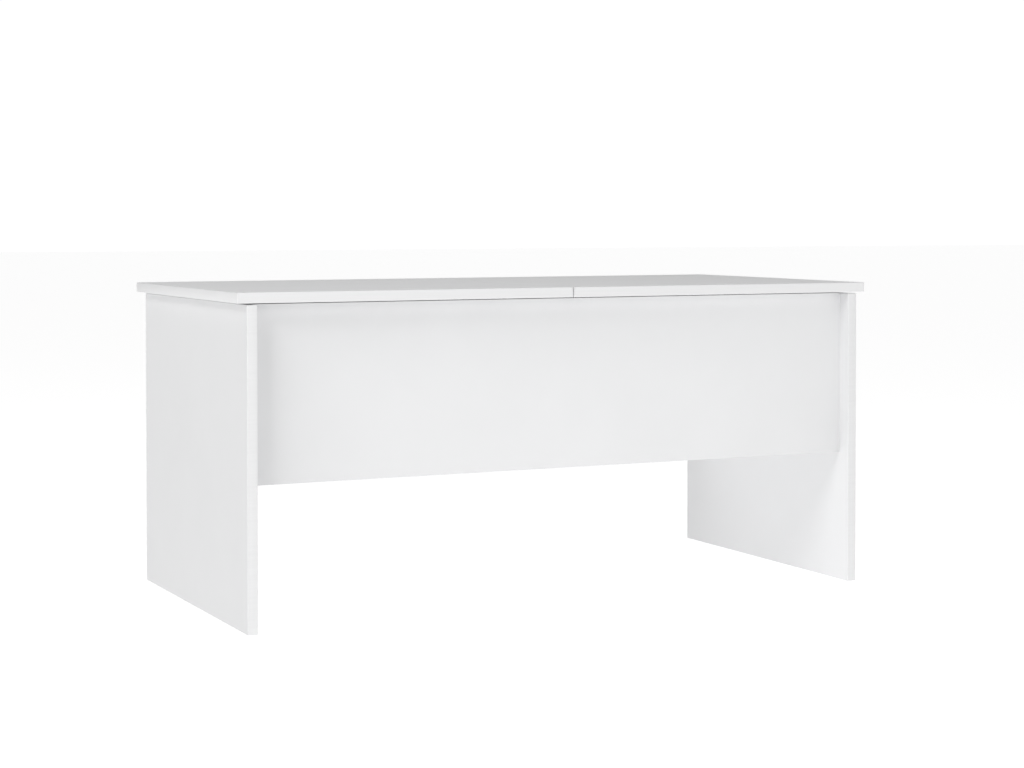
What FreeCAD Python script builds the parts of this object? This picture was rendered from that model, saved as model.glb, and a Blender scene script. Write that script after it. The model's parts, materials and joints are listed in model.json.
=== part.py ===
import FreeCAD, Part
import math
import os

# Lift top coffee table with two separate lifting halves. Millimetres, +Z up.
# Origin: middle of the table on the floor. +X runs along the table, +Y to its back.

Vector = FreeCAD.Vector

# ---- Overall sizes ----
table_width = 1020.0
table_depth = 490.0
table_height = 465.0
board = 15.0
seam = 2.0
top_gap = 2.0

# ---- Carcass ----
end_overhang = 14.0
edge_overhang = 1.0
apron_recess = 23.0
apron_height = 250.0

# ---- Board fittings ----
hole_play = 0.1
dowel_radius = 4.0
dowel_in_face = 10.0
dowel_in_edge = 20.0
cam_radius = 7.5
cam_below_bolt = 5.0
cam_reach = 24.0
cam_bolt_radius = 3.5
cam_thread_radius = 2.5
cam_thread_length = 11.0
edge_bolt_inset = 40.0
edge_dowel_inset = 95.0
floor_bolt_inset = 62.0
floor_dowel_inset = 150.0
divider_screw_spread = 140.0
divider_screw_length = 50.0
pad_radius = 4.0
pad_inset = 45.0

# ---- Lift mechanism ----
arm_length = 255.0
arm_width = 24.0
arm_thickness = 3.0
arm_spacing = 78.0
arm_gap = 3.3
raised_angle = 59.0
plate_thickness = 2.5
bracket_thickness = 2.0
washer_gap = 1.0
bracket_length = 255.0
bracket_height = 24.0
bracket_flange = 24.0
bracket_rear_gap = 3.0
arm_to_top = 2.0
bracket_hole_radius = 2.75
bracket_hole_inset = 23.0
bracket_hole_drop = 18.0
pivot_radius = 4.0
pivot_head_radius = 6.5
pivot_head = 1.45
pivot_play = 0.05
arm_hole_radius = 2.5
arm_hole_drops = (57.0, 76.0)
plate_front = 46.0
plate_rear = 22.0
plate_below = 29.0
plate_above = 39.0
plate_corner = 10.0
plate_screw_inset = 10.0
stop_radius = 4.0
stop_along = 30.0
stop_height = 5.5

# ---- Spring ----
tab_drop = 55.0
tab_width = 14.0
tab_edge = 6.0
tab_past_hole = 7.5
tab_thickness = 3.0
tab_hole_radius = 3.0
tab_lean = 26.6
stud_reach = 92.0
stud_radius = 4.0
stud_neck_radius = 3.0
stud_head_radius = 5.0
stud_neck = 5.0
stud_head = 2.5
stud_tail_radius = 2.5
spring_radius = 8.0
spring_wire_radius = 1.0
hook_radius = 6.0
hook_length = 13.0
spring_gap = 1.5

# ---- Screws ----
screw_radius = 1.95
screw_head_radius = 3.9
plate_screw_length = 9.5
bracket_screw_length = 12.0
bracket_screw_count = 4
pan_head = 2.2
countersink = 2.0

# ---- Derived sizes and places ----
side_depth = table_depth - 2 * edge_overhang
underside = table_height - board
carcass_top = underside - top_gap
cam_depth = board / 2 + cam_below_bolt
side_outer = table_width / 2 - end_overhang
side_inner = side_outer - board
apron_outer = side_depth / 2 - apron_recess
apron_inner = apron_outer - board
apron_bottom = underside - apron_height
floor_top = apron_bottom + board

arm_radius = arm_width / 2
play = pivot_play
arm_x0 = plate_thickness + washer_gap
arm_x1 = arm_x0 + arm_thickness
flange_x0 = arm_x1 + washer_gap
flange_x1 = flange_x0 + bracket_thickness
spring_x = flange_x1 + spring_gap + spring_radius
tab_reach = arm_length - tab_drop
closed = math.asin((arm_width + arm_gap) / arm_spacing)
raised = math.radians(raised_angle)
upper_z = underside - arm_to_top - arm_radius
lower_z = upper_z - arm_length * math.sin(closed)
bracket_rear_y = apron_inner - bracket_rear_gap
bracket_front_y = bracket_rear_y - bracket_length
rear_upper_y = bracket_rear_y - arm_radius
rear_lower_y = rear_upper_y - arm_length * math.cos(closed)
front_upper_y = rear_upper_y - arm_spacing
front_lower_y = rear_lower_y - arm_spacing


def box(x0, x1, y0, y1, z0, z1):
    return Part.makeBox(x1 - x0, y1 - y0, z1 - z0, Vector(x0, y0, z0))


def pin(x0, x1, y, z, radius):
    """Round bar along X."""
    return Part.makeCylinder(radius, x1 - x0, Vector(x0, y, z), Vector(1, 0, 0))


def fuse(shapes):
    shapes = list(shapes)
    if len(shapes) == 1:
        return shapes[0]
    return shapes[0].fuse(shapes[1:]).removeSplitter()


def save(name, solids):
    """Write one named sub-part; several solids stay separate."""
    solids = list(solids)
    shape = solids[0] if len(solids) == 1 else Part.makeCompound(solids)
    shape.exportStep(os.path.join("parts", name + ".step"))


# ---- Board fittings, each built at the joint's middle ----
# Local x runs into the board whose edge meets the joint, local z out of its face.


def at_joint(solid, point, into, face):
    turn = FreeCAD.Rotation(Vector(*into), Vector(0, 0, 0), Vector(*face), "XZY")
    placed = solid.copy()
    placed.Placement = FreeCAD.Placement(Vector(*point), turn)
    return placed


def rod(x0, x1, radius):
    return Part.makeCylinder(radius, x1 - x0, Vector(x0, 0, 0), Vector(1, 0, 0))


def disc(radius, depth):
    base = Vector(cam_reach, 0, board / 2 - depth)
    return Part.makeCylinder(radius, depth, base, Vector(0, 0, 1))


def cam_bolt():
    thread = rod(-cam_thread_length, 0, cam_thread_radius)
    return thread.fuse(rod(0, cam_reach, cam_bolt_radius)).removeSplitter()


def cam_disc():
    slot = rod(0, cam_reach + hole_play, cam_bolt_radius + hole_play)
    key = Part.makeBox(8, 1.6, 1.6, Vector(cam_reach - 4, -0.8, board / 2 - 1.6))
    cross = Part.makeBox(1.6, 8, 1.6, Vector(cam_reach - 0.8, -4, board / 2 - 1.6))
    return disc(cam_radius, cam_depth).cut([slot, key, cross])


def cam_holes():
    bolt = rod(-cam_thread_length, 0, cam_thread_radius + hole_play)
    shank = rod(0, cam_reach, cam_bolt_radius + hole_play)
    return [bolt, shank, disc(cam_radius + hole_play, cam_depth)]


def dowel(extra=0.0):
    return rod(-dowel_in_face, dowel_in_edge, dowel_radius + extra)


def joints_of_board_ends():
    """Every cam and dowel joint: (kind, point, into, face)."""
    found = []
    middle = side_depth / 2 - apron_recess - board / 2
    heights = {
        "cam": (apron_bottom + edge_bolt_inset, underside - edge_bolt_inset),
        "dowel": (apron_bottom + edge_dowel_inset, underside - edge_dowel_inset),
    }
    insets = {"cam": floor_bolt_inset, "dowel": floor_dowel_inset}
    for kind in ("cam", "dowel"):
        for side in (-1, 1):
            for z in heights[kind]:
                for y in (-middle, middle):
                    face = (0, -1 if y > 0 else 1, 0)
                    found.append((kind, (side * side_inner, y, z), (-side, 0, 0), face))
            for y in (insets[kind] - apron_inner, apron_inner - insets[kind]):
                point = (side * side_inner, y, apron_bottom + board / 2)
                found.append((kind, point, (-side, 0, 0), (0, 0, -1)))
    for end in (-1, 1):
        for z in heights["cam"]:
            found.append(("cam", (0, end * apron_inner, z), (0, -end, 0), (1, 0, 0)))
        z = (apron_bottom + underside) / 2
        found.append(("dowel", (0, end * apron_inner, z), (0, -end, 0), (1, 0, 0)))
    return found


def divider_screw_places():
    return [Vector(0, y, apron_bottom) for y in (-divider_screw_spread, 0, divider_screw_spread)]


def divider_screw(place, extra=0.0):
    shank = Part.makeCylinder(2.5 + extra, divider_screw_length, place)
    head = Part.makeCone(5 + extra, 2.5 + extra, 3, place)
    return shank.fuse(head).removeSplitter()


# ---- Lift mechanism, built on a board's face at x = 0 with +x away from the board ----


def screw_places_on_plate():
    low = lower_z - plate_below + plate_screw_inset
    high = lower_z + plate_above - plate_screw_inset
    front = front_lower_y - plate_front + plate_screw_inset
    rear = rear_lower_y + plate_rear - plate_screw_inset
    middle = (front_lower_y + rear_lower_y) / 2
    return [(front, low), (middle, low), (rear, low), (middle, high), (rear, high)]


def stop_place():
    """Centre of the stop pin, touching the front edge of the raised front arm."""
    away = arm_radius + stop_radius + play
    y = front_lower_y - stop_along * math.cos(raised) - away * math.sin(raised)
    z = lower_z + stop_along * math.sin(raised) - away * math.cos(raised)
    return y, z


def base_plate():
    y0 = front_lower_y - plate_front
    y1 = rear_lower_y + plate_rear
    z0 = lower_z - plate_below
    plate = box(0, plate_thickness, y0, y1, z0, lower_z + plate_above)
    corners = [e for e in plate.Edges if abs(e.tangentAt(e.FirstParameter).x) > 0.9]
    plate = plate.makeFillet(plate_corner, corners)
    cuts = [pin(0, plate_thickness, y, lower_z, pivot_radius) for y in (front_lower_y, rear_lower_y)]
    cuts.append(pin(0, plate_thickness, *stop_place(), stop_radius))
    for y, z in screw_places_on_plate():
        cuts.append(countersunk(0, plate_thickness, y, z, hole_play))
    return plate.cut(cuts)


def countersunk(x0, x1, y, z, extra=0.0):
    """Countersunk screw or its hole, from x0 in the board up to its head at x1."""
    shank = pin(x0, x1, y, z, screw_radius + extra)
    base = Vector(x1 - countersink, y, z)
    wide = screw_head_radius + extra
    head = Part.makeCone(screw_radius + extra, wide, countersink, base, Vector(1, 0, 0))
    return shank.fuse(head).removeSplitter()


def plate_screws():
    start = plate_thickness - plate_screw_length
    return [countersunk(start, plate_thickness, y, z) for y, z in screw_places_on_plate()]


def plate_screw_holes():
    start = plate_thickness - plate_screw_length
    return [pin(start, 0, y, z, screw_radius + hole_play) for y, z in screw_places_on_plate()]


def bar():
    """Flat bar with round ends, along +y from its lower pivot at the origin."""
    r = arm_radius
    points = [Vector(arm_x0, 0, -r), Vector(arm_x0, arm_length, -r)]
    points += [Vector(arm_x0, arm_length + r, 0), Vector(arm_x0, arm_length, r)]
    points += [Vector(arm_x0, 0, r), Vector(arm_x0, -r, 0)]
    edges = [
        Part.LineSegment(points[0], points[1]).toShape(),
        Part.Arc(points[1], points[2], points[3]).toShape(),
        Part.LineSegment(points[3], points[4]).toShape(),
        Part.Arc(points[4], points[5], points[0]).toShape(),
    ]
    face = Part.Face(Part.Wire(edges))
    solid = face.extrude(Vector(arm_thickness, 0, 0))
    ends = [pin(arm_x0, arm_x1, y, 0, pivot_radius + pivot_play) for y in (0, arm_length)]
    return solid.cut(ends)


def tab():
    """Ear on the rear arm that holds the spring's upper hook. It leans off the arm's line,
    to the middle of the hook's swing."""
    y0 = tab_reach - tab_edge
    half = tab_thickness / 2
    end_x = spring_x + tab_past_hole
    ear = box(arm_x1, end_x, y0, y0 + tab_width, -half, half)
    top = [e for e in ear.Edges if abs(e.tangentAt(e.FirstParameter).z) > 0.9]
    outer = [e for e in top if e.CenterOfMass.x > spring_x]
    ear = ear.makeFillet(tab_edge / 2, outer)
    base = Vector(spring_x, tab_reach, -tab_thickness)
    hole = Part.makeCylinder(tab_hole_radius, 2 * tab_thickness, base)
    ear = ear.cut(hole)
    ear.rotate(Vector(0, tab_reach, 0), Vector(1, 0, 0), -tab_lean)
    return ear


def swing(solid, y, z):
    """Turn a part from the arm's own line to the closed position at pivot y, z."""
    solid.rotate(Vector(0, 0, 0), Vector(1, 0, 0), math.degrees(closed))
    solid.translate(Vector(0, y, z))
    return solid


def rear_arm():
    return swing(fuse([bar(), tab()]), rear_lower_y, lower_z)


def front_arm():
    places = [arm_length - drop for drop in arm_hole_drops]
    cuts = [pin(arm_x0, arm_x1, y, 0, arm_hole_radius) for y in places]
    cuts.append(pin(arm_x0, arm_x1, stud_reach, 0, stud_tail_radius))
    return swing(bar().cut(cuts), front_lower_y, lower_z)


def spring_stud():
    x1 = spring_x - stud_neck / 2
    x2 = spring_x + stud_neck / 2
    tail = pin(arm_x0, arm_x1, stud_reach, 0, stud_tail_radius)
    shank = pin(arm_x1, x1, stud_reach, 0, stud_radius)
    neck = pin(x1, x2, stud_reach, 0, stud_neck_radius)
    head = pin(x2, x2 + stud_head, stud_reach, 0, stud_head_radius)
    return swing(fuse([tail, shank, neck, head]), front_lower_y, lower_z)


def base_rivet(y):
    shank = pin(0, arm_x1 + play, y, lower_z, pivot_radius)
    collar = pin(plate_thickness, arm_x0 - play, y, lower_z, pivot_head_radius)
    head = pin(arm_x1 + play, arm_x1 + play + pivot_head, y, lower_z, pivot_head_radius)
    return fuse([shank, collar, head])


def bracket_rivet(y):
    outer = pin(plate_thickness + play, arm_x0 - play, y, upper_z, pivot_head_radius)
    shank = pin(arm_x0 - play, flange_x1, y, upper_z, pivot_radius)
    collar = pin(arm_x1 + play, flange_x0, y, upper_z, pivot_head_radius)
    head = pin(flange_x1, flange_x1 + pivot_head, y, upper_z, pivot_head_radius)
    return fuse([outer, shank, collar, head])


def stop_pin():
    y, z = stop_place()
    return pin(0, plate_thickness + stop_height, y, z, stop_radius)


def bracket_screw_places():
    """Screws up into the top, evenly spaced along the bracket."""
    x = (flange_x1 + flange_x0 + bracket_flange) / 2
    step = bracket_length / bracket_screw_count
    return [(x, bracket_front_y + step * (i + 0.5)) for i in range(bracket_screw_count)]


def bracket():
    x2 = flange_x0 + bracket_flange
    z0 = underside - bracket_height
    upright = box(flange_x0, flange_x1, bracket_front_y, bracket_rear_y, z0, underside)
    z1 = underside - bracket_thickness
    ledge = box(flange_x0, x2, bracket_front_y, bracket_rear_y, z1, underside)
    angle = fuse([upright, ledge])
    corner = [
        e for e in angle.Edges
        if abs(e.tangentAt(e.FirstParameter).y) > 0.9
        and e.CenterOfMass.x < flange_x1
        and e.CenterOfMass.z > underside - bracket_thickness / 2
    ]
    angle = angle.makeFillet(0.9 * bracket_thickness, corner)
    cuts = [pin(flange_x0, flange_x1, y, upper_z, pivot_radius) for y in (rear_upper_y, front_upper_y)]
    y = bracket_front_y + bracket_hole_inset
    cuts.append(pin(flange_x0, flange_x1, y, underside - bracket_hole_drop, bracket_hole_radius))
    for x, y in bracket_screw_places():
        cuts.append(Part.makeCylinder(screw_radius + hole_play, bracket_thickness, Vector(x, y, z1)))
    return angle.cut(cuts)


def bracket_screws():
    z0 = underside - bracket_thickness
    found = []
    for x, y in bracket_screw_places():
        shank = Part.makeCylinder(screw_radius, bracket_screw_length, Vector(x, y, z0))
        head = Part.makeCylinder(screw_head_radius, pan_head, Vector(x, y, z0 - pan_head))
        rim = [e for e in head.Edges if e.CenterOfMass.z < z0 - 0.9 * pan_head and e.Closed]
        head = head.makeFillet(0.6 * pan_head, rim)
        found.append(fuse([shank, head]))
    return found


def bracket_screw_holes():
    depth = bracket_screw_length - bracket_thickness
    radius = screw_radius + hole_play
    places = bracket_screw_places()
    return [Part.makeCylinder(radius, depth, Vector(x, y, underside)) for x, y in places]


# ---- Extension spring, built along +y from the stud and then laid between its two ends ----


def spring_ends():
    """Middle of the stud and middle of the tab's hole, with the top closed."""
    stud = (front_lower_y + stud_reach * math.cos(closed), lower_z + stud_reach * math.sin(closed))
    hole = (rear_lower_y + tab_reach * math.cos(closed), lower_z + tab_reach * math.sin(closed))
    return stud, hole


def lay_spring(solid):
    (y0, z0), (y1, z1) = spring_ends()
    angle = math.degrees(math.atan2(z1 - z0, y1 - y0))
    solid.rotate(Vector(0, 0, 0), Vector(1, 0, 0), angle)
    solid.translate(Vector(spring_x, y0, z0))
    return solid


def spring_length():
    (y0, z0), (y1, z1) = spring_ends()
    return math.hypot(y1 - y0, z1 - z0)


def along(y0, y1, radius):
    return Part.makeCylinder(radius, y1 - y0, Vector(0, y0, 0), Vector(0, 1, 0))


def hook(ring_y, end_y):
    """Round eye at ring_y, with its wire running to the coil's end turn at end_y."""
    wire = spring_wire_radius
    eye = Part.makeTorus(hook_radius, wire, Vector(0, ring_y, 0), Vector(1, 0, 0))
    step = 1 if end_y > ring_y else -1
    start = ring_y + step * hook_radius
    link = along(min(start, end_y), max(start, end_y), wire)
    reach = spring_radius - wire
    turn = Part.makeCylinder(wire, reach, Vector(0, end_y, 0), Vector(1, 0, 0))
    knee = Part.makeSphere(wire, Vector(0, end_y, 0))
    return fuse([eye, link, knee, turn])


def spring_coil():
    wire = spring_wire_radius
    y0 = hook_length
    y1 = spring_length() - hook_length - 2 * wire
    tube = along(y0, y1, spring_radius).cut(along(y0, y1, spring_radius - 2 * wire))
    ring_y = hook_radius - wire - stud_neck_radius - hole_play
    return lay_spring(fuse([tube, hook(ring_y, y0 + wire)]))


def spring_hook():
    ring_y = spring_length() - hook_radius
    end_y = spring_length() - hook_length
    return lay_spring(hook(ring_y, end_y + hole_play))


# ---- Placing a mechanism: the board's face and which way it looks ----

mounts = {
    "left_outer": (-side_inner, 1),
    "left_inner": (-board / 2, -1),
    "right_inner": (board / 2, 1),
    "right_outer": (side_inner, -1),
}


def place(solid, mount):
    x, way = mounts[mount]
    placed = solid.copy()
    if way < 0:
        placed = placed.mirror(Vector(0, 0, 0), Vector(1, 0, 0))
    placed.translate(Vector(x, 0, 0))
    return placed


def mechanism(mount):
    parts = {
        "base_plate": [base_plate()],
        "rear_arm": [rear_arm()],
        "front_arm": [front_arm()],
        "bracket": [bracket()],
        "base_rivets": [base_rivet(front_lower_y), base_rivet(rear_lower_y)],
        "bracket_rivets": [bracket_rivet(front_upper_y), bracket_rivet(rear_upper_y)],
        "spring": [spring_coil()],
        "spring_hook": [spring_hook()],
        "spring_stud": [spring_stud()],
        "stop_pin": [stop_pin()],
    }
    for name, solids in parts.items():
        save(mount + "_" + name, [place(s, mount) for s in solids])


# ---- Boards ----


def side_panel(side):
    x = sorted((side * side_inner, side * side_outer))
    return box(*x, -side_depth / 2, side_depth / 2, 0, carcass_top)


def apron(side):
    y = sorted((side * apron_inner, side * apron_outer))
    return box(-side_inner, side_inner, *y, apron_bottom, carcass_top)


def rest_pad_places():
    """Pads that the closed tops rest on, on the upper edges of the sides and the divider."""
    edge = side_inner + board / 2
    reach = apron_inner - pad_inset
    return [Vector(x, y, carcass_top) for x in (-edge, 0, edge) for y in (-reach, reach)]


def top_half(side):
    x = sorted((side * seam / 2, side * table_width / 2))
    return box(*x, -table_depth / 2, table_depth / 2, underside, table_height)


def make_boards():
    fittings = joints_of_board_ends()
    holes = []
    for kind, point, into, face in fittings:
        cutters = cam_holes() if kind == "cam" else [dowel(hole_play)]
        holes += [at_joint(c, point, into, face) for c in cutters]
    holes += [divider_screw(p, hole_play) for p in divider_screw_places()]
    for mount in mounts:
        holes += [place(h, mount) for h in plate_screw_holes()]
    boards = {
        "side_panel_left": side_panel(-1),
        "side_panel_right": side_panel(1),
        "front_panel": apron(-1),
        "back_panel": apron(1),
        "bottom_panel": box(-side_inner, side_inner, -apron_inner, apron_inner, apron_bottom, floor_top),
        "centre_divider": box(-board / 2, board / 2, -apron_inner, apron_inner, floor_top, carcass_top),
    }
    for name, solid in boards.items():
        near = [h for h in holes if solid.BoundBox.intersect(h.BoundBox)]
        save(name, [solid.cut(near)])
    cams = [f[1:] for f in fittings if f[0] == "cam"]
    dowels = [f[1:] for f in fittings if f[0] == "dowel"]
    save("cam_bolts", [at_joint(cam_bolt(), *f) for f in cams])
    save("cam_discs", [at_joint(cam_disc(), *f) for f in cams])
    save("dowels", [at_joint(dowel(), *f) for f in dowels])
    save("divider_screws", [divider_screw(p) for p in divider_screw_places()])
    save("rest_pads", [Part.makeCylinder(pad_radius, top_gap, p) for p in rest_pad_places()])


def make_tops():
    for name, side in (("left", -1), ("right", 1)):
        own = [m for m in mounts if m.startswith(name)]
        holes = [place(h, m) for m in own for h in bracket_screw_holes()]
        save("top_" + name, [top_half(side).cut(holes)])
        screws = [place(s, m) for m in own for s in bracket_screws()]
        save("bracket_screws_" + name, screws)


def main():
    os.makedirs("parts", exist_ok=True)
    make_boards()
    make_tops()
    for mount in mounts:
        mechanism(mount)
    save("plate_screws", [place(s, m) for m in mounts for s in plate_screws()])


main()
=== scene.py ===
import json
import math

import bmesh
import bpy
from mathutils import Matrix, Vector


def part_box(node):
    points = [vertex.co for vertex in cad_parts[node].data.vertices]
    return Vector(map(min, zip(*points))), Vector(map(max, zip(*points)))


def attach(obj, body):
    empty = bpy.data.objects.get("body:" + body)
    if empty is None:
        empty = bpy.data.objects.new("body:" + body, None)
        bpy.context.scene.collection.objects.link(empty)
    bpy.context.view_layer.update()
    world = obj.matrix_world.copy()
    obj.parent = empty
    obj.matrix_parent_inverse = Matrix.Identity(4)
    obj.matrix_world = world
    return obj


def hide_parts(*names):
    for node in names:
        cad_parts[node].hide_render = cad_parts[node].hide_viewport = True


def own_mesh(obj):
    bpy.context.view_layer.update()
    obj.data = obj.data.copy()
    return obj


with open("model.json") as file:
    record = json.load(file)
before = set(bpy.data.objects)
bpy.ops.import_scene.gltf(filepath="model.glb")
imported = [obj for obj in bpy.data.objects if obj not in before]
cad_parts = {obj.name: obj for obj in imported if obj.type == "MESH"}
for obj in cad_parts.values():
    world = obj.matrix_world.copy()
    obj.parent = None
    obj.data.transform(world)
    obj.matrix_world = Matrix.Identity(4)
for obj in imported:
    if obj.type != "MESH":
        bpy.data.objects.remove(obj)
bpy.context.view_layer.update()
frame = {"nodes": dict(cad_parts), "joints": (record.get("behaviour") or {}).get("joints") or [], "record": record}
MM = 0.001
TOLERANCE = 1e-6

# ---- Sizes that the looks add to the frame ----
EDGE_ROUND = 1.2 * MM       # rounding of the boards' outer edges
SEAM_ROUND = 0.3 * MM       # rounding where the two tops meet
BAND = 1.5 * MM             # thickness of the edge banding strips
BAND_GROOVE = 0.10 * MM     # rounding on each side of the glue line
# The next four are upper limits: the short edges round the holes hold the rounding back,
# to about 0.1 mm on the drilled boards and the steel bars.
APRON_ROUND = 0.6 * MM
STEEL_ROUND = 0.35 * MM
RIVET_ROUND = 0.6 * MM
SCREW_ROUND = 0.25 * MM
CROSS_WIDTH = 1.0 * MM      # arms of a screw head's cross recess
CROSS_REACH = 0.62          # length of an arm, as a share of the head's radius
CROSS_DEPTH = 1.1 * MM
HEAD_SHARE = 0.9            # corners past this share of the largest radius belong to the head
COIL_TURNS = 32
STEPS_PER_TURN = 20
WIRE = 1.0 * MM             # radius of the spring wire
WIRE_STRETCH = 1.4          # the coil's wire is this much longer along the coil
HOOK_RADIUS = 6.0 * MM      # middle of the wire in each eye of a spring
HOOK_LENGTH = 13.0 * MM     # middle of the stud to the first turn of the coil
EYE_PLAY = 1.9 * MM         # how far the lower eye's middle sits past the stud's
EYE_GAP = math.radians(14)  # opening of an eye
EYE_STEPS = 30
NECK_RISE = 1.2 * MM        # length over which the wire leaves the axis for the coil
NECK_STEPS = 4
RISE_STEPS = 8

# ---- Light and camera ----
FLOOR_WHITE = 0.35
FLOOR_GLOW = 0.86
HORIZON = 1.03
ZENITH = 0.34
HORIZON_BAND = (0.12, 0.35)   # sines of the elevations between which the sky darkens
LEFT_SHADE = 0.4              # how bright the left half of the sky is, beside the right half
LEFT_BAND = (0.35, 0.6)       # where the shade ends, from 0 at the far left to 1 at the far right
FRONT_PLACE = (-0.8, -4.5, 2.3)
FRONT_SIZE = (3.0, 1.4)
FRONT_POWER = 28.0
LEFT_PLACE = (-3.4, -1.6, 3.0)
LEFT_SIZE = (2.0, 1.4)
LEFT_POWER = 62.0
OVERHEAD_PLACE = (0, -0.3, 3.4)
OVERHEAD_SIZE = (2.4, 1.7)
OVERHEAD_POWER = 20.0
TABLE_MIDDLE = (0, 0, 0.25)
TOP_MIDDLE = (0, 0, 0.46)
FLOOR_REACH = 30.0
LENS = 73.94
SHIFT = -0.12
CAMERA_PLACE = (-1.4109, -2.9482, 0.5684)
CAMERA_YAW = 25.882
CAMERA_DIP = 1.237

MECHANISMS = ("left_outer", "left_inner", "right_inner", "right_outer")


# ================= materials =================


def new_material(name):
    mat = bpy.data.materials.new(name)
    mat.use_nodes = True
    tree = mat.node_tree
    shader = tree.nodes["Principled BSDF"]
    place = tree.nodes.new("ShaderNodeTexCoord")
    return mat, tree, shader, place.outputs["Object"]


def noise(tree, place, scale, detail=4.0, rough=0.5, stretch=None):
    node = tree.nodes.new("ShaderNodeTexNoise")
    node.inputs["Scale"].default_value = scale
    node.inputs["Detail"].default_value = detail
    node.inputs["Roughness"].default_value = rough
    if stretch is not None:
        mapping = tree.nodes.new("ShaderNodeMapping")
        mapping.inputs["Scale"].default_value = stretch
        tree.links.new(place, mapping.inputs["Vector"])
        place = mapping.outputs["Vector"]
    tree.links.new(place, node.inputs["Vector"])
    return node.outputs["Fac"]


def ramp(tree, factor, low, high, colour_low, colour_high):
    node = tree.nodes.new("ShaderNodeValToRGB")
    node.color_ramp.elements[0].position = low
    node.color_ramp.elements[1].position = high
    node.color_ramp.elements[0].color = (*colour_low, 1)
    node.color_ramp.elements[1].color = (*colour_high, 1)
    tree.links.new(factor, node.inputs["Fac"])
    return node.outputs["Color"]


def spread(tree, factor, low, high):
    node = tree.nodes.new("ShaderNodeMapRange")
    node.inputs["To Min"].default_value = low
    node.inputs["To Max"].default_value = high
    tree.links.new(factor, node.inputs["Value"])
    return node.outputs["Result"]


def bump(tree, shader, height, strength, distance):
    node = tree.nodes.new("ShaderNodeBump")
    node.inputs["Strength"].default_value = strength
    node.inputs["Distance"].default_value = distance
    tree.links.new(height, node.inputs["Height"])
    tree.links.new(node.outputs["Normal"], shader.inputs["Normal"])


def melamine(name, tone, rough):
    """White melamine face: very faint mottling, a fine orange-peel surface and satin gloss."""
    mat, tree, shader, place = new_material(name)
    cloud = noise(tree, place, 7.0, 3.0, 0.55)
    shade = tuple(c * 0.985 for c in tone)
    tree.links.new(ramp(tree, cloud, 0.35, 0.65, shade, tone), shader.inputs["Base Color"])
    wear = noise(tree, place, 38.0, 5.0, 0.6)
    tree.links.new(spread(tree, wear, rough - 0.04, rough + 0.05), shader.inputs["Roughness"])
    peel = noise(tree, place, 1400.0, 2.0, 0.5)
    bump(tree, shader, peel, 0.10, 0.05 * MM)
    shader.inputs["Specular IOR Level"].default_value = 0.35
    return mat


def edge_band(name, tone):
    """White plastic edge strip: a touch smoother than the faces, with drawn lines along it."""
    mat, tree, shader, place = new_material(name)
    lines = noise(tree, place, 60.0, 3.0, 0.6, (0.15, 0.15, 6.0))
    shade = tuple(c * 0.975 for c in tone)
    tree.links.new(ramp(tree, lines, 0.3, 0.7, shade, tone), shader.inputs["Base Color"])
    tree.links.new(spread(tree, lines, 0.32, 0.42), shader.inputs["Roughness"])
    bump(tree, shader, lines, 0.06, 0.05 * MM)
    shader.inputs["Specular IOR Level"].default_value = 0.4
    return mat


def pressed_steel(name, dark, light, rough=0.42):
    """Grey galvanised steel: faint spangle, rolling lines and small scuffs."""
    mat, tree, shader, place = new_material(name)
    spangle = tree.nodes.new("ShaderNodeTexVoronoi")
    spangle.inputs["Scale"].default_value = 140.0
    tree.links.new(place, spangle.inputs["Vector"])
    grey = tree.nodes.new("ShaderNodeRGBToBW")
    tree.links.new(spangle.outputs["Color"], grey.inputs["Color"])
    lines = noise(tree, place, 220.0, 4.0, 0.65, (1.0, 0.06, 1.0))
    mix = tree.nodes.new("ShaderNodeMath")
    mix.operation = "MULTIPLY_ADD"
    mix.inputs[1].default_value = 0.35
    tree.links.new(grey.outputs["Val"], mix.inputs[0])
    tree.links.new(lines, mix.inputs[2])
    tree.links.new(ramp(tree, mix.outputs["Value"], 0.45, 0.95, dark, light), shader.inputs["Base Color"])
    scuff = noise(tree, place, 90.0, 6.0, 0.7)
    tree.links.new(spread(tree, scuff, rough - 0.10, rough + 0.14), shader.inputs["Roughness"])
    bump(tree, shader, lines, 0.12, 0.04 * MM)
    shader.inputs["Metallic"].default_value = 0.75
    return mat


def turned_metal(name, dark, light, metallic, rough):
    """Small bright parts: fine tool marks and a slightly uneven plating."""
    mat, tree, shader, place = new_material(name)
    marks = noise(tree, place, 700.0, 3.0, 0.6)
    patch = noise(tree, place, 120.0, 4.0, 0.6)
    tree.links.new(ramp(tree, patch, 0.3, 0.7, dark, light), shader.inputs["Base Color"])
    tree.links.new(spread(tree, marks, rough - 0.06, rough + 0.10), shader.inputs["Roughness"])
    bump(tree, shader, marks, 0.15, 0.03 * MM)
    shader.inputs["Metallic"].default_value = metallic
    return mat


def beech(name):
    """Plain beech with its grain along the dowels."""
    mat, tree, shader, place = new_material(name)
    grain = noise(tree, place, 90.0, 6.0, 0.6, (0.12, 1.0, 1.0))
    colour = ramp(tree, grain, 0.35, 0.7, (0.46, 0.29, 0.15), (0.66, 0.47, 0.28))
    tree.links.new(colour, shader.inputs["Base Color"])
    bump(tree, shader, grain, 0.2, 0.1 * MM)
    shader.inputs["Roughness"].default_value = 0.7
    return mat


def soft_pad(name):
    """Soft clear rubber, slightly hazy."""
    mat, tree, shader, place = new_material(name)
    haze = noise(tree, place, 300.0, 3.0, 0.5)
    colour = ramp(tree, haze, 0.3, 0.7, (0.66, 0.66, 0.64), (0.74, 0.74, 0.72))
    tree.links.new(colour, shader.inputs["Base Color"])
    shader.inputs["Roughness"].default_value = 0.55
    return mat


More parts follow.
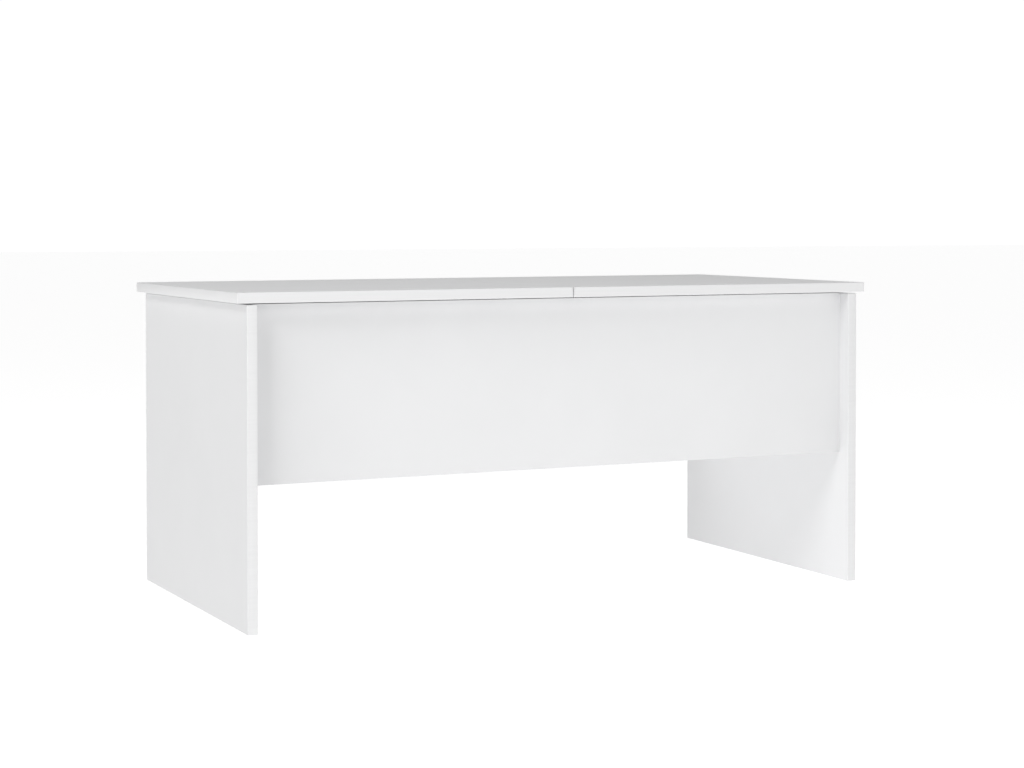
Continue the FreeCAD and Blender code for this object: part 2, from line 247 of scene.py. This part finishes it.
WHITE = melamine("white_melamine", (0.86, 0.862, 0.868), 0.46)
BANDING = edge_band("white_edge_band", (0.88, 0.882, 0.886))
STEEL = pressed_steel("galvanised_steel", (0.20, 0.20, 0.205), (0.36, 0.36, 0.365))
RIVET = turned_metal("rivet_steel", (0.42, 0.42, 0.43), (0.62, 0.62, 0.63), 0.9, 0.30)
SPRING = turned_metal("spring_wire", (0.20, 0.20, 0.21), (0.34, 0.34, 0.35), 0.9, 0.34)
ZINC = turned_metal("bright_zinc", (0.52, 0.54, 0.58), (0.70, 0.71, 0.74), 0.95, 0.28)
CASTING = turned_metal("zinc_casting", (0.40, 0.41, 0.43), (0.52, 0.53, 0.55), 0.8, 0.45)
BEECH = beech("beech_dowel")
PAD = soft_pad("clear_pad")


# ================= mesh helpers =================


def to_object(bm, name, mat):
    mesh = bpy.data.meshes.new(name)
    bm.to_mesh(mesh)
    bm.free()
    obj = bpy.data.objects.new(name, mesh)
    bpy.context.collection.objects.link(obj)
    mesh.materials.append(mat)
    return obj


def settle(obj, round_by, segments=2, angle=35.0):
    """Rounds the edges for good and shades the faces smooth by angle."""
    bevel = obj.modifiers.new("round", "BEVEL")
    bevel.width = round_by
    bevel.segments = segments
    bevel.limit_method = "ANGLE"
    bevel.angle_limit = math.radians(angle)
    bevel.harden_normals = True
    apply_modifiers(obj)
    smooth(obj, angle)
    return obj


def apply_modifiers(obj):
    graph = bpy.context.evaluated_depsgraph_get()
    mesh = bpy.data.meshes.new_from_object(obj.evaluated_get(graph))
    obj.modifiers.clear()
    obj.data = mesh


def smooth(obj, angle=35.0):
    obj.data.shade_smooth()
    obj.data.set_sharp_from_angle(angle=math.radians(angle))


def box_mesh(bm, lo, hi):
    size = Vector(hi) - Vector(lo)
    middle = (Vector(lo) + Vector(hi)) / 2
    matrix = Matrix.Translation(middle) @ Matrix.Diagonal((*size, 1))
    bmesh.ops.create_cube(bm, size=1.0, matrix=matrix)


def corners(node):
    lo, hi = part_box(node)
    return Vector(lo), Vector(hi)


# ================= boards with edge banding =================


def outer_planes(edge, lo, hi):
    """The sides of the board's overall box that the edge lies on, as (axis, end) pairs."""
    found = []
    for axis in range(3):
        for end, level in enumerate((lo[axis], hi[axis])):
            if all(abs(v.co[axis] - level) < TOLERANCE for v in edge.verts):
                found.append((axis, end))
    return found


def round_outer_edges(bm, lo, hi, seam):
    """Rounds the edges that lie on the board's outline, more tightly along the seam."""
    for tight, width in ((False, EDGE_ROUND), (True, SEAM_ROUND)):
        edges = []
        for edge in bm.edges:
            planes = outer_planes(edge, lo, hi)
            if len(planes) == 2 and (seam in planes) == tight:
                edges.append(edge)
        bmesh.ops.bevel(bm, geom=edges, offset=width, segments=3, profile=0.5, affect="EDGES")


def board(node, body, thin, seam):
    """A melamine board: a core of two faces, and a glued strip on each of its four edges.
    thin is the axis across the board's thickness, seam the side that meets the other top."""
    lo, hi = corners(node)
    first, second = [axis for axis in range(3) if axis != thin]
    core_lo, core_hi = lo.copy(), hi.copy()
    for axis in (first, second):
        core_lo[axis] += BAND
        core_hi[axis] -= BAND
    bm = bmesh.new()
    box_mesh(bm, core_lo, core_hi)
    core = settle(to_object(bm, node + "_core", WHITE), BAND_GROOVE, 1)
    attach(core, body)
    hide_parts(node)
    for axis, other in ((first, second), (second, first)):
        for end in (0, 1):
            a, b = lo.copy(), hi.copy()
            if axis == second:
                a[other] += BAND
                b[other] -= BAND
            if end:
                a[axis] = hi[axis] - BAND
            else:
                b[axis] = lo[axis] + BAND
            bm = bmesh.new()
            box_mesh(bm, a, b)
            round_outer_edges(bm, lo, hi, seam)
            name = "%s_band_%s%d" % (node, "xyz"[axis], end)
            strip = settle(to_object(bm, name, BANDING), BAND_GROOVE, 1)
            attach(strip, body)


BOARDS = {
    "top_left": ("left_top", 2, (0, 1)),
    "top_right": ("right_top", 2, (0, 0)),
    "side_panel_left": ("carcass", 0, None),
    "side_panel_right": ("carcass", 0, None),
}
for node, (body, thin, seam) in BOARDS.items():
    board(node, body, thin, seam)


# ================= drilled boards and steel parts: the CAD shape with softened edges =================


def soften(node, round_by, segments=2):
    """The CAD node's own solids with their edges slightly rounded."""
    bm = bmesh.new()
    bm.from_mesh(frame["nodes"][node].data)
    bmesh.ops.remove_doubles(bm, verts=bm.verts, dist=TOLERANCE)
    flat = math.radians(1.0)
    bmesh.ops.dissolve_limit(bm, angle_limit=flat, verts=bm.verts, edges=bm.edges)
    obj = settle(to_object(bm, node + "_soft", PAINT[SLOT[node]]), round_by, segments)
    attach(obj, BODY[node])
    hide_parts(node)
    return obj


def islands(mesh):
    """The corners of each connected patch of the mesh, as lists of vectors. The CAD meshes are
    split along their sharp edges, so one screw is several patches."""
    bm = bmesh.new()
    bm.from_mesh(mesh)
    unseen = set(bm.verts)
    found = []
    while unseen:
        todo = [unseen.pop()]
        solid = []
        while todo:
            vert = todo.pop()
            solid.append(vert.co.copy())
            for edge in vert.link_edges:
                near = edge.other_vert(vert)
                if near in unseen:
                    unseen.remove(near)
                    todo.append(near)
        found.append(solid)
    bm.free()
    return found


def cross_cutter(solids, axis):
    """A cross of two bars at one end of every patch. axis is the way the screws point. One of
    a screw's crosses is its head's recess; the others cut into the head and the shank too."""
    bm = bmesh.new()
    for solid in solids:
        lo = Vector([min(co[i] for co in solid) for i in range(3)])
        hi = Vector([max(co[i] for co in solid) for i in range(3)])
        middle = (lo + hi) / 2
        across = [i for i in range(3) if i != axis]
        radius = (hi[across[0]] - lo[across[0]]) / 2
        wide = []
        for co in solid:
            if math.hypot(*(co[i] - middle[i] for i in across)) > HEAD_SHARE * radius:
                wide.append(co[axis])
        face = lo[axis] if sum(wide) / len(wide) < middle[axis] else hi[axis]
        for along in across:
            a, b = middle.copy(), middle.copy()
            for i in across:
                half = CROSS_REACH * radius if i == along else CROSS_WIDTH / 2
                a[i] -= half
                b[i] += half
            a[axis] = face - CROSS_DEPTH
            b[axis] = face + CROSS_DEPTH
            box_mesh(bm, a, b)
    return to_object(bm, "cross_cutter", ZINC)


def screws(node, axis):
    """Screws with rounded heads and a cross recess in each head."""
    obj = soften(node, SCREW_ROUND)
    cutter = cross_cutter(islands(frame["nodes"][node].data), axis)
    cut = obj.modifiers.new("recess", "BOOLEAN")
    cut.object = cutter
    cut.solver = "EXACT"
    cut.use_self = True
    apply_modifiers(obj)
    smooth(obj)
    bpy.data.objects.remove(cutter)


RECORD = frame["record"]
BODY = {node: body for body, nodes in RECORD["behaviour"]["bodies"].items() for node in nodes}
SLOT = {part["node"]: part["material_slot"] for part in RECORD["subparts"]}
PAINT = {
    "white_board": WHITE,
    "beech": BEECH,
    "pressed_steel": STEEL,
    "rivet_steel": RIVET,
    "spring_steel": SPRING,
    "zinc_plated": ZINC,
    "zinc_casting": CASTING,
    "clear_rubber": PAD,
}
for node, obj in frame["nodes"].items():
    obj.data.materials.clear()
    obj.data.materials.append(PAINT[SLOT[node]])

for node in ("front_panel", "back_panel", "bottom_panel", "centre_divider"):
    soften(node, APRON_ROUND)

soften("rest_pads", STEEL_ROUND)

for mechanism in MECHANISMS:
    for part in ("base_plate", "rear_arm", "front_arm", "bracket", "spring_stud", "stop_pin"):
        soften(mechanism + "_" + part, STEEL_ROUND)
    for part in ("base_rivets", "bracket_rivets"):
        soften(mechanism + "_" + part, RIVET_ROUND, 3)

screws("plate_screws", 0)
screws("bracket_screws_left", 2)
screws("bracket_screws_right", 2)
screws("divider_screws", 2)


# ================= springs =================


def joint(name):
    return next(j for j in frame["joints"] if j["name"] == name)


def tube_along(points, radius, name, mat, sides=10, flatten=None):
    """A round wire through the points. flatten = (axis, factor) makes it longer along an axis."""
    bm = bmesh.new()
    rings = []
    count = len(points)
    normal = None
    for i, point in enumerate(points):
        ahead = points[min(i + 1, count - 1)] - points[max(i - 1, 0)]
        ahead.normalize()
        if normal is None:
            normal = ahead.orthogonal().normalized()
        normal = (normal - ahead * normal.dot(ahead)).normalized()
        side = ahead.cross(normal)
        ring = []
        for k in range(sides):
            turn = 2 * math.pi * k / sides
            away = (normal * math.cos(turn) + side * math.sin(turn)) * radius
            if flatten is not None:
                axis, factor = flatten
                away += axis * away.dot(axis) * (factor - 1)
            ring.append(bm.verts.new(point + away))
        rings.append(ring)
    for a, b in zip(rings, rings[1:]):
        for k in range(sides):
            bm.faces.new((a[k], a[(k + 1) % sides], b[(k + 1) % sides], b[k]))
    bm.faces.new(list(reversed(rings[0])))
    bm.faces.new(rings[-1])
    bmesh.ops.recalc_face_normals(bm, faces=bm.faces)
    obj = to_object(bm, name, mat)
    smooth(obj, 50.0)
    return obj


def spring(mechanism):
    """The coil and its lower eye go on the coil body, the upper eye on the eye body; each end has a full eye."""
    stretch = joint(mechanism + "_spring_stretch")
    axis = Vector(stretch["axis"]).normalized()
    stud = Vector(joint(mechanism + "_spring_swing")["pos_m"])
    side = Vector((1, 0, 0))
    across = axis.cross(side).normalized()
    lo, hi = corners(mechanism + "_spring")
    radius = (hi.x - lo.x) / 2 - WIRE
    length = spring_length(mechanism)
    start = HOOK_LENGTH
    end = length - HOOK_LENGTH

    def at(along, turn, reach):
        return stud + axis * along + (side * math.cos(turn) + across * math.sin(turn)) * reach

    steps = COIL_TURNS * STEPS_PER_TURN
    points = []
    for i in range(steps + 1):
        share = i / steps
        points.append(at(start + (end - start) * share, 2 * math.pi * COIL_TURNS * share, radius))
    coil = tube_along(points, WIRE, mechanism + "_coil_wire", SPRING, 8, (axis, WIRE_STRETCH))
    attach(coil, mechanism + "_coil")
    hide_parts(mechanism + "_spring")
    travel = max(abs(limit) for limit in stretch["range_m"])
    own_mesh(coil)
    lower = eye(at, EYE_PLAY, start, radius, mechanism + "_lower_eye")
    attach(lower, mechanism + "_coil")
    upper = eye(at, length - HOOK_RADIUS, end, radius, mechanism + "_upper_eye")
    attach(upper, mechanism + "_eye")
    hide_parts(mechanism + "_spring_hook")


def spring_length(mechanism):
    """Middle of the stud to the far inside of the upper eye, along the spring."""
    stretch = joint(mechanism + "_spring_stretch")
    axis = Vector(stretch["axis"]).normalized()
    stud = Vector(joint(mechanism + "_spring_swing")["pos_m"])
    mesh = frame["nodes"][mechanism + "_spring_hook"].data
    return max((v.co - stud).dot(axis) for v in mesh.vertices) - WIRE


def eye(at, centre, end, coil_radius, name):
    """A full eye in the plane of the arms, its neck, and the wire's way out to the coil."""
    way = 1 if end > centre else -1
    points = []
    for i in range(EYE_STEPS + 1):
        a = EYE_GAP + (2 * math.pi - EYE_GAP) * i / EYE_STEPS
        points.append(at(centre + way * HOOK_RADIUS * math.cos(a), math.pi / 2, HOOK_RADIUS * math.sin(a)))
    neck_end = end - way * NECK_RISE
    neck = centre + way * HOOK_RADIUS
    for i in range(1, NECK_STEPS + 1):
        points.append(at(neck + (neck_end - neck) * i / NECK_STEPS, 0.0, 0.0))
    for i in range(1, RISE_STEPS + 1):
        share = i / RISE_STEPS
        points.append(at(neck_end + (end - neck_end) * share, 0.0, coil_radius * share))
    return tube_along(points, WIRE, name, SPRING, 10)


for mechanism in MECHANISMS:
    spring(mechanism)


# ================= floor, light and camera =================


def make_floor():
    bm = bmesh.new()
    bmesh.ops.create_grid(bm, x_segments=1, y_segments=1, size=FLOOR_REACH)
    mat, tree, shader, place = new_material("pale_floor")
    soft = noise(tree, place, 1.5, 2.0, 0.5)
    low, high = (FLOOR_WHITE * 0.98,) * 3, (FLOOR_WHITE,) * 3
    tree.links.new(ramp(tree, soft, 0.3, 0.7, low, high), shader.inputs["Base Color"])
    shader.inputs["Roughness"].default_value = 0.9
    shader.inputs["Specular IOR Level"].default_value = 0.1
    shader.inputs["Emission Color"].default_value = (1, 1, 1, 1)
    shader.inputs["Emission Strength"].default_value = FLOOR_GLOW
    floor = to_object(bm, "floor", mat)


def make_world():
    """Studio white low down all round, and darker above."""
    world = bpy.data.worlds.new("studio")
    bpy.context.scene.world = world
    world.use_nodes = True
    tree = world.node_tree
    background = tree.nodes["Background"]
    place = tree.nodes.new("ShaderNodeTexCoord")
    split = tree.nodes.new("ShaderNodeSeparateXYZ")
    tree.links.new(place.outputs["Generated"], split.inputs["Vector"])
    height = ramp(tree, split.outputs["Z"], *HORIZON_BAND, (HORIZON,) * 3, (ZENITH,) * 3)
    sideways = tree.nodes.new("ShaderNodeMapRange")
    sideways.inputs["From Min"].default_value = -1.0
    tree.links.new(split.outputs["X"], sideways.inputs["Value"])
    shade = ramp(tree, sideways.outputs["Result"], *LEFT_BAND, (LEFT_SHADE,) * 3, (1, 1, 1))
    both = tree.nodes.new("ShaderNodeVectorMath")
    both.operation = "MULTIPLY"
    tree.links.new(height, both.inputs[0])
    tree.links.new(shade, both.inputs[1])
    tree.links.new(both.outputs["Vector"], background.inputs["Color"])
    background.inputs["Strength"].default_value = 1.0


def make_light(name, place, target, size, power):
    data = bpy.data.lights.new(name, "AREA")
    data.shape = "RECTANGLE"
    data.size, data.size_y = size
    data.energy = power
    light = bpy.data.objects.new(name, data)
    bpy.context.collection.objects.link(light)
    light.location = place
    light.rotation_euler = (Vector(target) - Vector(place)).to_track_quat("-Z", "Y").to_euler()


def make_camera():
    data = bpy.data.cameras.new("camera")
    data.lens = LENS
    data.shift_y = SHIFT
    camera = bpy.data.objects.new("camera", data)
    bpy.context.collection.objects.link(camera)
    camera.location = CAMERA_PLACE
    yaw, dip = math.radians(CAMERA_YAW), math.radians(CAMERA_DIP)
    ahead = Vector((math.sin(yaw) * math.cos(dip), math.cos(yaw) * math.cos(dip), -math.sin(dip)))
    camera.rotation_euler = ahead.to_track_quat("-Z", "Y").to_euler()
    bpy.context.scene.camera = camera


make_floor()
make_world()
make_light("front_softbox", FRONT_PLACE, TABLE_MIDDLE, FRONT_SIZE, FRONT_POWER)
make_light("left_softbox", LEFT_PLACE, TABLE_MIDDLE, LEFT_SIZE, LEFT_POWER)
make_light("overhead_softbox", OVERHEAD_PLACE, TOP_MIDDLE, OVERHEAD_SIZE, OVERHEAD_POWER)
make_camera()
bpy.context.scene.view_settings.view_transform = "Standard"
bpy.context.scene.view_settings.look = "None"
